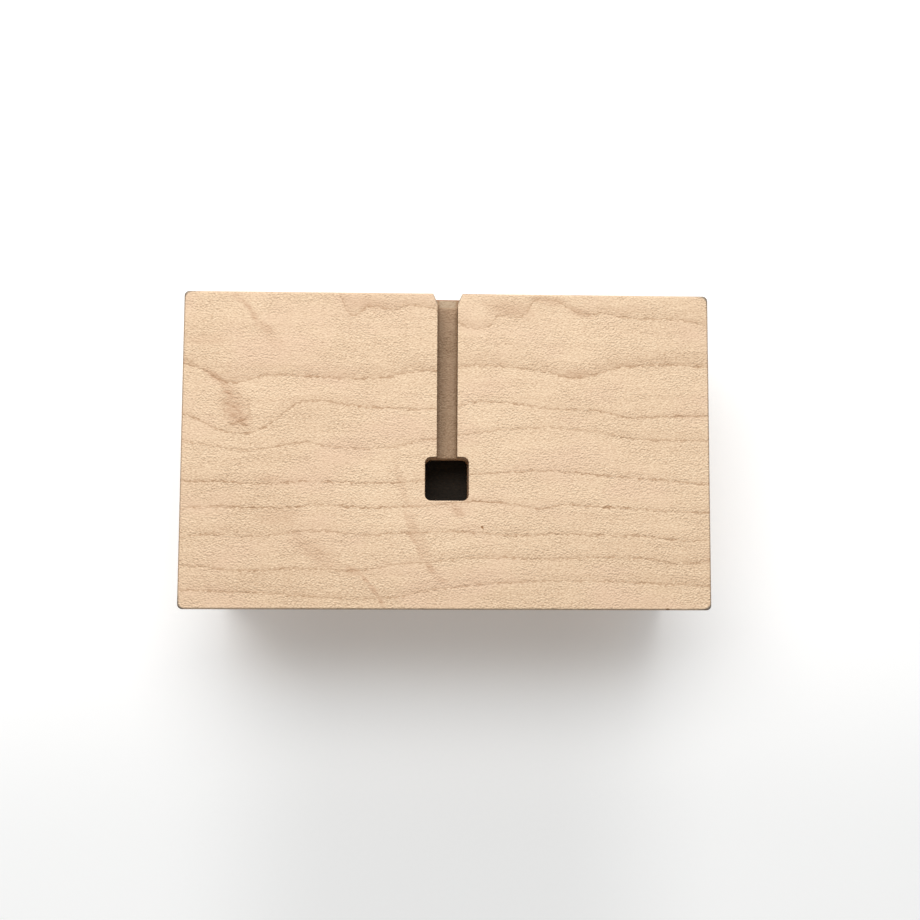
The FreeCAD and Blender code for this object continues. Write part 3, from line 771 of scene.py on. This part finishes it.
@dataclass(frozen=True)
class MetalFinish:
    """A worked metal: its colour, tarnish, roughness and the size of its tool marks."""

    metal: Metal
    bright: Colour
    dull: Colour
    rough: float
    marks: Spot
    depth: float

    def make(self) -> Finish:
        """Write the finish.

        Returns:
            Its material.
        """
        coat = Coat(f"{self.metal.value}_finish")
        marks = coat.cloud(self.marks, 3.0, 2.0, 0.6)
        bloom = coat.cloud((5.0, 5.0, 5.0), 4.0, 6.0)
        colour = coat.mix(coat.fade(bloom, 0.42, 0.7, 0.0, 0.7), self.bright, self.dull)
        rough = coat.scaled(marks, 0.22, self.rough - 0.11)
        rough = coat.scaled(bloom, 0.12, rough)
        return coat.surface(colour, rough, coat.relief(marks, self.depth), Metallic=1.0)


METALS: tuple[MetalFinish, ...] = (
    MetalFinish(Metal.BRASS, (0.80, 0.58, 0.27), (0.55, 0.36, 0.15), 0.34, (3.0, 0.12, 0.12), 0.01),
    MetalFinish(Metal.STEEL, (0.58, 0.58, 0.59), (0.42, 0.42, 0.44), 0.28, (4.0, 4.0, 0.06), 0.006),
    MetalFinish(Metal.NICKEL, (0.70, 0.68, 0.64), (0.54, 0.52, 0.48), 0.2, (0.8, 0.8, 0.8), 0.004),
)


@dataclass(frozen=True)
class FeltFinish:
    """Black wool felt, matted and a little dusty."""

    dark: Colour = (0.045, 0.040, 0.034)
    dusty: Colour = (0.095, 0.084, 0.070)
    fuzz_depth: float = 0.18

    def make(self) -> Finish:
        """Write the finish.

        Returns:
            Its material.
        """
        coat = Coat("black_felt_finish")
        fuzz = coat.cloud((0.5, 0.5, 0.5), 5.0, 1.0, 0.7)
        wisps = coat.cloud((1.6, 1.1, 1.0), 3.0, 9.0)
        colour = coat.mix(coat.fade(fuzz, 0.35, 0.75), self.dark, self.dusty)
        rough = coat.scaled(wisps, 0.1, 0.88)
        height = coat.scaled(wisps, 0.5, fuzz)
        return coat.surface(colour, rough, coat.relief(height, self.fuzz_depth),
                            Specular_IOR_Level=0.1, Sheen_Weight=0.15, Sheen_Roughness=0.5)


@dataclass(frozen=True)
class PaperFinish:
    """The pale ground, greyer towards the viewer as painted shade, with painted warm bounce from the
    wood.
    """

    near: Colour = (0.74, 0.745, 0.74)
    far: Colour = (0.86, 0.86, 0.855)
    painted_warm_bounce: Colour = (1.0, 0.93, 0.86)
    half_long: float = 63.5
    half_deep: float = 38.1
    warm_reach: float = 34.0
    lift: float = 0.17
    side_lift: float = 0.10
    white_aside: float = 110.0
    white_behind: float = 60.0
    white_ahead: float = 150.0
    grey_from: float = -110.0
    grey_to: float = -30.0
    lift_from: float = 28.0
    lift_to: float = 84.0
    tooth: float = 0.02

    def make(self) -> Finish:
        """Write the finish.

        Returns:
            Its material.
        """
        coat = Coat("ground_finish")
        x, y, _ = coat.parts(coat.place)
        tooth = coat.cloud((1.2, 1.2, 1.2), 3.0)
        # Painted shade: the ground greys towards the viewer.
        colour = coat.mix(coat.fade(y, self.grey_from, self.grey_to), self.near, self.far)
        ahead = coat.math("SUBTRACT", -self.half_deep, y)
        aside = coat.unsigned(x)
        # Painted bounce light: a warm tint on the ground just in front of the box, from the wood.
        fading = coat.fade(ahead, 0.0, self.warm_reach, 1.0, 0.0)
        warm = coat.times(coat.fade(ahead, -8.0, 0.0), fading)
        beside = coat.fade(aside, self.half_long - 20.0, self.half_long + 10.0, 1.0, 0.0)
        colour = coat.mix(coat.times(warm, beside), colour, self.painted_warm_bounce, "MULTIPLY")
        colour = coat.mix(coat.times(tooth, self.tooth), colour, BLACK)
        matt = coat.step("ShaderNodeBsdfDiffuse", {"Color": colour})
        # Painted light: the ground's glow grows towards the sides, lightening the ends of the box's
        # shadow.
        lift = coat.fade(aside, self.lift_from, self.lift_to, self.lift, self.lift + self.side_lift)
        far: Amount = 0.0
        for way, start in ((aside, self.white_aside), (y, self.white_behind),
                           (ahead, self.white_ahead)):
            far = coat.larger(far, coat.math("DIVIDE", way, start))
        lift = coat.larger(lift, coat.fade(far, 1.0, 3.0))
        shown = coat.times(coat.any_seen(), lift)
        glow = coat.step("ShaderNodeEmission", {"Strength": shown})
        both = coat.step("ShaderNodeAddShader", {0: matt.outputs[0], 1: glow.outputs[0]})
        coat.step("ShaderNodeOutputMaterial", {0: both.outputs[0]})
        return coat.material


def dress(name: str, finish: Finish, ease: float = 0.0) -> Piece:
    """Give a CAD piece its finish and, where wanted, softly broken edges.

    Args:
        name: The piece's node.
        finish: The material.
        ease: How far its edges are broken, in millimetres.

    Returns:
        The piece.
    """
    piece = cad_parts[name]
    piece.material_slots[0].material = finish
    if ease:
        joined = piece.modifiers.new("joined", "WELD")
        joined.merge_threshold = WELD_GAP
        merged = piece.modifiers.new("merged", "DECIMATE")
        merged.decimate_type = "DISSOLVE"
        merged.angle_limit = FLAT_ANGLE
        eased = piece.modifiers.new("eased", "BEVEL")
        eased.width = ease * MM
        eased.segments = 2
        eased.limit_method = "ANGLE"
        eased.angle_limit = EDGE_ANGLE
        eased.use_clamp_overlap = False
    log.info("dressed %s with %s", name, finish.name)
    return piece


def to_mesh(name: str, shape: bmesh.types.BMesh) -> Mesh:
    """Make a mesh of an edited shape, and let go of the shape.

    Args:
        name: The mesh's name.
        shape: The edited shape.

    Returns:
        The mesh.
    """
    mesh = bpy.data.meshes.new(name)
    shape.to_mesh(mesh)
    shape.free()
    return mesh


def placed(name: str, data: bpy.types.ID) -> Piece:
    """Put a mesh, lamp or camera in the scene.

    Args:
        name: The object's name.
        data: The mesh, lamp or camera.

    Returns:
        The object that holds it.
    """
    thing = bpy.data.objects.new(name, data)
    bpy.context.scene.collection.objects.link(thing)
    return thing


def new_piece(name: str, mesh: Mesh, finish: Finish, body: str) -> Piece:
    """Make a piece of a mesh, and let it ride on a body.

    Args:
        name: The piece's name.
        mesh: Its shape, in metres.
        finish: Its material.
        body: The body that it rides on.

    Returns:
        The piece.
    """
    mesh.materials.append(finish)
    piece = placed(name, mesh)
    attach(piece, body)
    log.info("built %s with %s", name, finish.name)
    return piece


@dataclass
class WoodScrew:
    """A slotted wood screw with its head on the ground and its point up, in millimetres."""

    length: float
    head: float = 5.3
    shank: float = 2.7
    core: float = 1.9
    pitch: float = 1.3
    neck: float = 3.4
    point: float = 3.0
    rim: float = 0.15
    slot_wide: float = 0.9
    slot_deep: float = 0.85
    rim_bevel: float = 0.1
    crest: float = 0.28
    blunt: float = 0.06
    sides: int = 36
    rows_per_pitch: int = 8

    def radius(self, height: float, turn: float) -> float:
        """Return the screw's radius at a height and at a share of a full turn.

        Args:
            height: Height above the head's face.
            turn: How far round, from 0 to 1.

        Returns:
            The radius there.
        """
        taper = (self.head - self.shank) / 2
        if height <= self.rim:
            return self.head / 2 - self.rim_bevel * (1 - height / self.rim)
        if height <= self.rim + taper:
            return self.head / 2 - (height - self.rim)
        if height <= self.neck:
            return self.shank / 2
        phase = ((height - self.neck) / self.pitch - turn) % 1.0
        crest = max(0.0, 1.0 - abs(phase - 0.5) / self.crest)
        grown = min(1.0, (height - self.neck) / self.pitch)
        drawn = min(1.0, max(self.blunt, (self.length - height) / self.point))
        blank = self.shank + (self.core - self.shank) * grown
        return drawn * (blank + (self.shank - blank) * crest) / 2

    def heights(self) -> list[float]:
        """Space the rows of points from the head's face to the point.

        Returns:
            The rows' heights.
        """
        taper = (self.head - self.shank) / 2
        low = [0.0, self.rim, self.rim + 0.5 * taper, self.rim + taper, self.neck]
        step = self.pitch / self.rows_per_pitch
        count = int((self.length - self.neck) / step)
        return low + [self.neck + step * index for index in range(1, count)] + [self.length]

    def cut_slot(self, mesh: Mesh) -> Mesh:
        """Cut the driver slot across the head.

        Args:
            mesh: The screw without its slot.

        Returns:
            The screw with it.
        """
        shape = bmesh.new()
        size = Matrix.Diagonal((2 * self.head * MM, self.slot_wide * MM, 2 * self.slot_deep * MM, 1.0))
        bmesh.ops.create_cube(shape, size=1.0, matrix=size)
        screw = placed("uncut_screw", mesh)
        cutter = placed("slot_cutter", to_mesh("slot_cutter", shape))
        cut = screw.modifiers.new("slot", "BOOLEAN")
        cut.object = cutter
        cut.solver = "EXACT"
        graph = bpy.context.evaluated_depsgraph_get()
        result = bpy.data.meshes.new_from_object(screw.evaluated_get(graph))
        for passing in (screw, cutter):
            bpy.data.objects.remove(passing)
        return result

    def build(self) -> Mesh:
        """Turn the profile, wind the thread and cut the slot.

        Returns:
            The screw's mesh, in metres.
        """
        shape = bmesh.new()
        rows = []
        for height in self.heights():
            ring = []
            for side in range(self.sides):
                turn = side / self.sides
                radius = self.radius(height, turn) * MM
                angle = 2 * math.pi * turn
                place = (radius * math.cos(angle), radius * math.sin(angle), height * MM)
                ring.append(shape.verts.new(place))
            rows.append(ring)
        for lower, upper in zip(rows, rows[1:]):
            for side in range(self.sides):
                following = (side + 1) % self.sides
                shape.faces.new((lower[side], lower[following], upper[following], upper[side]))
        shape.faces.new(rows[0][::-1])
        shape.faces.new(rows[-1])
        return self.cut_slot(to_mesh("wood_screw", shape))


@dataclass
class ScrewSet:
    """Four screws at a rectangle's corners, driven up from below, each stopped at its own angle."""

    node: str
    name: str
    body: str
    recess: float = 0.02
    head_radius: float = 2.7
    stops: tuple[float, ...] = (12.0, 78.0, 141.0, 35.0)

    def build(self, finish: Finish) -> Piece:
        """Build the screws in the place of their plain solids.

        Args:
            finish: Their metal.

        Returns:
            The set of screws.
        """
        low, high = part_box(self.node)
        reach = high - Vector((self.head_radius,) * 3) * MM
        screw = WoodScrew((high.z - low.z) / MM - self.recess).build()
        shape = bmesh.new()
        corners = [(across, along) for across in (-1, 1) for along in (-1, 1)]
        for (across, along), stop in zip(corners, self.stops):
            place = Vector((across * reach.x, along * reach.y, low.z + self.recess * MM))
            copy = screw.copy()
            copy.transform(Matrix.Translation(place) @ Matrix.Rotation(math.radians(stop), 4, "Z"))
            shape.from_mesh(copy)
            bpy.data.meshes.remove(copy)
        mesh = to_mesh(self.name, shape)
        mesh.shade_smooth()
        mesh.set_sharp_from_angle(angle=SMOOTH_ANGLE)
        piece = new_piece(self.name, mesh, finish, self.body)
        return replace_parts(piece, self.node)


@dataclass
class FeltSheet:
    """A sheet of felt laid on the compartment's floor, in millimetres."""

    node: str = "felt_lining"
    trim: float = 0.15
    roll: float = 0.55
    columns: int = 120
    rows: int = 64
    uneven: float = 0.10
    rim: float = 0.35
    crown: float = 0.55
    long_wave: float = 6.0
    short_wave: float = 1.7
    short_share: float = 0.6
    underside: float = 0.02

    def top(self, place: Vector, edge: float, thick: float) -> float:
        """Return the height of the felt's upper face.

        Args:
            place: Where on the sheet.
            edge: Distance to the nearest edge.
            thick: The sheet's thickness.

        Returns:
            Height above the floor.
        """
        inside = 1.0 - min(edge / self.roll, 1.0)
        crown = self.rim + self.crown * math.sqrt(max(0.0, 1.0 - inside * inside))
        wave = (noise.noise(place / self.long_wave)
                + self.short_share * noise.noise(place / self.short_wave))
        return thick * (crown + self.uneven * 0.5 * wave * (1.0 - inside))

    def build(self, finish: Finish) -> Piece:
        """Build the sheet in the place of its plain solid.

        Args:
            finish: The felt.

        Returns:
            The sheet.
        """
        low, high = (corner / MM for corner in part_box(self.node))
        low.xy += Vector((self.trim, self.trim))
        high.xy -= Vector((self.trim, self.trim))
        shape = bmesh.new()
        layers = []
        for is_top in (False, True):
            layer = []
            for row in range(self.rows + 1):
                y = low.y + (high.y - low.y) * row / self.rows
                line = []
                for column in range(self.columns + 1):
                    x = low.x + (high.x - low.x) * column / self.columns
                    edge = min(x - low.x, high.x - x, y - low.y, high.y - y)
                    z = low.z + self.underside
                    if is_top:
                        z = low.z + self.top(Vector((x, y, 0.0)), edge, high.z - low.z)
                    line.append(shape.verts.new(Vector((x, y, z)) * MM))
                layer.append(line)
            layers.append(layer)
        for layer, is_top in zip(layers, (False, True)):
            for first, second in zip(layer, layer[1:]):
                for column in range(self.columns):
                    face = (first[column], first[column + 1], second[column + 1], second[column])
                    shape.faces.new(face if is_top else face[::-1])
        rims = [[*layer[0], *(line[-1] for line in layer[1:]), *reversed(layer[-1][:-1]),
                 *(line[0] for line in reversed(layer[1:-1]))] for layer in layers]
        for index in range(len(rims[0])):
            following = (index + 1) % len(rims[0])
            shape.faces.new((rims[0][index], rims[0][following], rims[1][following], rims[1][index]))
        mesh = to_mesh("felt_sheet", shape)
        mesh.shade_smooth()
        piece = new_piece("felt_sheet", mesh, finish, "case")
        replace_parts(piece, self.node)
        return piece


@dataclass
class Case:
    """The bottom board, the mitred walls with their splines and screws, and the felt inside."""

    ease: float = 0.14
    screws: ScrewSet = field(
        default_factory=lambda: ScrewSet("bottom_screws", "bottom_screw_set", "case"))
    felt: FeltSheet = field(default_factory=FeltSheet)

    def build(self, brass: Finish) -> None:
        """Build the screws and the felt, and dress the boards.

        Args:
            brass: The screws' metal.
        """
        long_walls = {"front_wall": (40.0, (60.0, -60.0)), "back_wall": (52.0, (-60.0, -66.0))}
        side_walls = {"left_wall": (61.0, (35.0, -62.0)), "right_wall": (73.0, (-38.0, -56.0))}
        for grain, walls in ((Grain.LENGTHWISE, long_walls), (Grain.DEPTHWISE, side_walls)):
            for name, (seed, pith) in walls.items():
                dress(name, BoardMaple(f"{name}_maple", grain, seed, pith=pith).make(), self.ease)
        dress("bottom_board", BoardMaple("bottom_maple", Grain.LENGTHWISE, 17.0).make(), self.ease)
        dress("corner_splines", BoardMaple("spline_maple", Grain.LENGTHWISE, 29.0).make())
        self.screws.build(brass)
        self.felt.build(FeltFinish().make())


@dataclass
class Lid:
    """The slab with its groove and well, and the two boards screwed beneath it."""

    ease: float = 0.14
    inner: MapleTones = MapleTones(pale=(0.87, 0.66, 0.46), middle=(0.72, 0.53, 0.36),
                                   tan=(0.50, 0.34, 0.22))
    screws: ScrewSet = field(default_factory=lambda: ScrewSet("lid_screws", "lid_screw_set", "lid",
                                                              stops=(64.0, 8.0, 101.0, 150.0)))

    def build(self, brass: Finish, nickel: Finish) -> None:
        """Build the screws and dress the slab, the boards and the magnets.

        Args:
            brass: The screws' metal.
            nickel: The magnets' plating.
        """
        dress("lid_slab", LidMaple().make(), self.ease)
        frame_maple = BoardMaple("frame_maple", Grain.LENGTHWISE, 83.0, self.inner,
                                 (20.0, -8.0), 4.4, 0.6)
        dress("slider_frame", frame_maple.make(), self.ease)
        board_maple = BoardMaple("board_maple", Grain.LENGTHWISE, 97.0, self.inner,
                                 (-30.0, -20.0), 4.8, 0.6)
        dress("bolt_board", board_maple.make(), self.ease)
        dress("detent_magnets", nickel)
        self.screws.build(brass)


@dataclass
class Lock:
    """The slider, the bolts that it drives and the pins that follow or block it."""

    ease: float = 0.12
    # Painted shade: the slider's maple is coloured near black, as dark as the shade deep in the well.
    painted_dark_tones: MapleTones = MapleTones(pale=(0.046, 0.037, 0.028), middle=(0.030, 0.024, 0.018),
                                     tan=(0.020, 0.016, 0.012), line=(0.016, 0.012, 0.009),
                                     end=(0.020, 0.016, 0.012))

    def build(self, brass: Finish, steel: Finish, nickel: Finish) -> None:
        """Dress the moving pieces.

        Args:
            brass: The bolts' metal.
            steel: The pins' metal.
            nickel: The magnet's plating.
        """
        # The slider's near-black colour is painted shade for the well's floor.
        slider_painted_shade_maple = BoardMaple("slider_painted_shade_maple", Grain.LENGTHWISE, 113.0, self.painted_dark_tones,
                                  (12.0, 5.0), 3.6, 0.58, 0.1)
        dress("lock_slider", slider_painted_shade_maple.make(), self.ease)
        dress("slider_magnet", nickel)
        for side in ("left", "right"):
            dress(f"{side}_bolt", brass, self.ease)
            dress(f"{side}_follower_pin", steel)
            dress(f"{side}_gravity_pin", steel)


@dataclass
class Studio:
    """The ground, the soft light from behind and the view from above."""

    ground: float = 3.0
    ground_drop: float = 0.05
    sky: float = 0.27
    back_glow: float = 1.3
    key_power: float = 3.22
    key_size: Point = (0.6, 0.3)
    key_far: float = 0.62
    key_rise: float = 62.0
    key_turn: float = 16.0
    eye: Spot = (-3.51, -19.45, 288.44)
    aim: Spot = (3.13, -2.43, 50.8)
    roll: float = 0.262
    lens: float = 38.90
    film: float = 36.0
    nearest: float = 0.01

    def lay_ground(self) -> None:
        """Lay the pale ground under the box."""
        shape = bmesh.new()
        bmesh.ops.create_grid(shape, x_segments=8, y_segments=8, size=self.ground / 2)
        mesh = to_mesh("ground", shape)
        mesh.materials.append(PaperFinish().make())
        ground = placed("ground", mesh)
        ground.location.z = -self.ground_drop * MM

    def light(self) -> None:
        """Set a sky, brighter behind the box and white to the eye, and one soft lamp at the back."""
        world = bpy.data.worlds.new("soft_sky")
        bpy.context.scene.world = world
        world.use_nodes = True
        steps = Steps(world.node_tree)
        toward = steps.step("ShaderNodeTexCoord").outputs["Generated"]
        behind = steps.larger(steps.parts(toward)[1], 0.0)
        light = steps.scaled(steps.times(behind, behind), self.back_glow, self.sky)
        missing = steps.math("SUBTRACT", 1.0, light)
        strength = steps.scaled(steps.any_seen(), missing, light)
        sky = steps.step("ShaderNodeBackground", {"Color": (*WHITE, 1.0), "Strength": strength})
        steps.step("ShaderNodeOutputWorld", {0: sky.outputs[0]})
        lamp = bpy.data.lights.new("back_light", "AREA")
        lamp.shape = "RECTANGLE"
        lamp.size, lamp.size_y = self.key_size
        lamp.energy = self.key_power
        key = placed("back_light", lamp)
        rise, turn = math.radians(self.key_rise), math.radians(self.key_turn)
        level = math.cos(rise)
        target = Vector(self.aim) * MM
        away = Vector((-level * math.sin(turn), level * math.cos(turn), math.sin(rise)))
        key.location = target + away * self.key_far
        key.rotation_mode = "QUATERNION"
        key.rotation_quaternion = (target - key.location).to_track_quat("-Z", "Y")

    def set_camera(self) -> None:
        """Look down on the lid from just in front of its middle."""
        lens = bpy.data.cameras.new("view_from_above")
        lens.lens = self.lens
        lens.sensor_width = self.film
        lens.clip_start = self.nearest
        camera = placed("view_from_above", lens)
        eye = Vector(self.eye) * MM
        back = (eye - Vector(self.aim) * MM).normalized()
        right = Vector((0.0, 1.0, 0.0)).cross(back).normalized()
        turn = Matrix((right, back.cross(right), back)).transposed().to_4x4()
        roll = Matrix.Rotation(math.radians(self.roll), 4, "Z")
        camera.matrix_world = Matrix.Translation(eye) @ turn @ roll
        bpy.context.scene.camera = camera
        bpy.context.scene.view_settings.view_transform = "Standard"


def main() -> None:
    """Dress and build the box, then light it and set the view."""
    logging.basicConfig(level=logging.INFO, format="%(message)s")
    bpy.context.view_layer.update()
    brass, steel, nickel = (finish.make() for finish in METALS)
    Case().build(brass)
    Lid().build(brass, nickel)
    Lock().build(brass, steel, nickel)
    studio = Studio()
    studio.lay_ground()
    studio.light()
    studio.set_camera()


if __name__ == "__main__":
    main()
